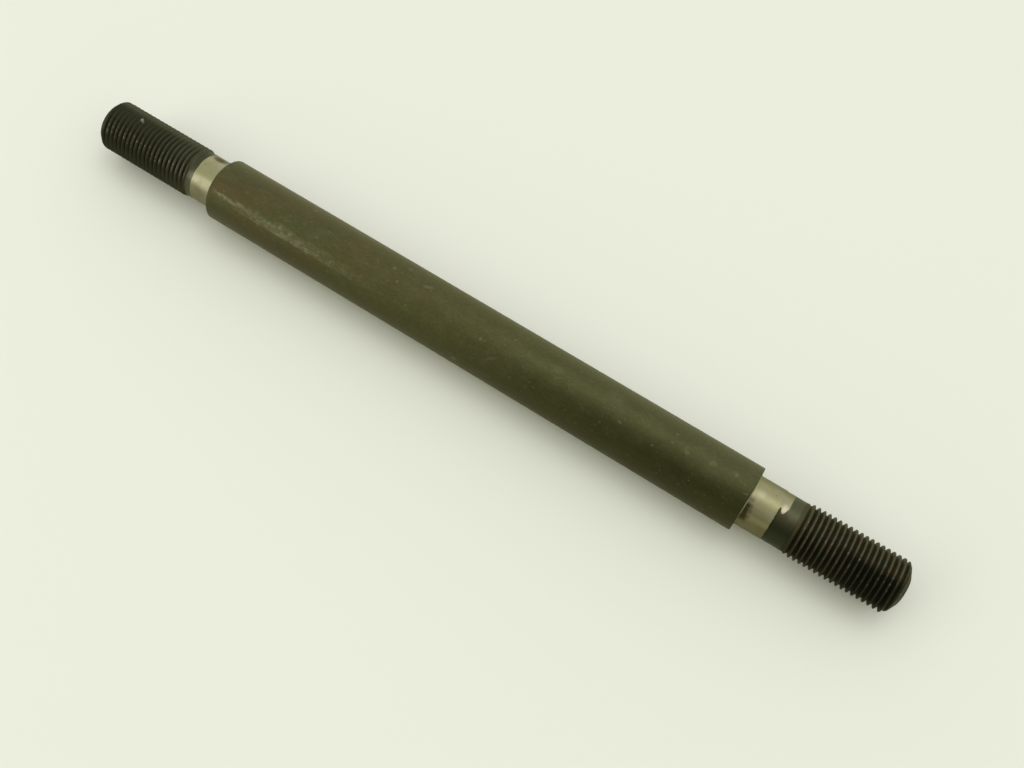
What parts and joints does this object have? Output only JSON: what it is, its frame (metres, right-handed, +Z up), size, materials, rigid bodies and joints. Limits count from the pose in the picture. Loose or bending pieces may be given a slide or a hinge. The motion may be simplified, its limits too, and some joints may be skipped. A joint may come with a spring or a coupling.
{
  "type": "bicycle axle",
  "caption": "Stepped steel hub axle: a plain bearing shaft with a shouldered seat and a fine thread at each end, for fastening a wheel in a bicycle frame.",
  "frame": {"origin": "on the axle's axis, midway between its two shoulders", "axes": "+X along the axle towards its end with the longer plain collar, +Z up with the axle level"},
  "size_m": [0.1679, 0.012, 0.012],
  "materials": {
    "axle_steel": "dark mottled oxide on the shaft and threads, worn bright on the two ground seats"
  },
  "bodies": {
    "root": {"axle": "axle_steel"}
  },
  "joints": []
}
